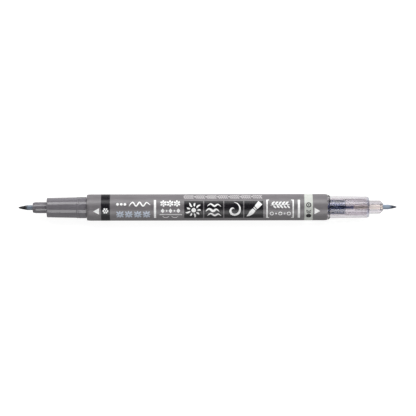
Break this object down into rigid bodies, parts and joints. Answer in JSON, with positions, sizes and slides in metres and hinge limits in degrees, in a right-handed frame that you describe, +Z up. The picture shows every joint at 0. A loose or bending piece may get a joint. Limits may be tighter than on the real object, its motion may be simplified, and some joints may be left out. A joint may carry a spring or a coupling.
{
  "type": "twin-tip calligraphy marker",
  "caption": "Slim round marker with its caps off: a barrel with a bending black brush tip at one end and a grey one in a clear front section at the other.",
  "frame": {"origin": "centre of the marker's length, on the plane it lies on", "axes": "+X along the marker towards the grey tip, +Z up"},
  "size_m": [0.143, 0.01, 0.01],
  "materials": {
    "barrel": "satin grey with printed marks",
    "grip": "glossy opaque grey",
    "clear": "clear, faintly smoky",
    "film": "thin clear film",
    "nib": "smooth elastomer",
    "black_tip": "elastomer soaked with black ink",
    "grey_tip": "elastomer soaked with blue-grey ink",
    "black_ink": "fibre soaked with black ink",
    "grey_ink": "fibre soaked with blue-grey ink"
  },
  "bodies": {
    "marker": {"barrel": "barrel", "ink_divider": "barrel", "black_section": "grip", "black_nib_holder": "grip", "black_nib_stem": "nib", "black_feed": "black_ink", "black_ink_core": "black_ink", "black_core_film": "film", "grey_section": "clear", "grey_nib_holder": "clear", "grey_nib_stem": "nib", "grey_feed": "grey_ink", "grey_ink_core": "grey_ink", "grey_core_film": "film"},
    "black_tip": {"black_brush_tip": "black_tip"},
    "grey_tip": {"grey_brush_tip": "grey_tip"}
  },
  "joints": [
    {"name": "black_tip_bend", "type": "hinge", "parent": "marker", "child": "black_tip", "pos_m": [-0.06605, 0, 0.00498], "axis": [0, 0, 1], "range_deg": [-25, 25], "stiffness_Nm_per_rad": 0.0035},
    {"name": "grey_tip_bend", "type": "hinge", "parent": "marker", "child": "grey_tip", "pos_m": [0.0662, 0, 0.00498], "axis": [0, 0, 1], "range_deg": [-25, 25], "stiffness_Nm_per_rad": 0.0035}
  ]
}
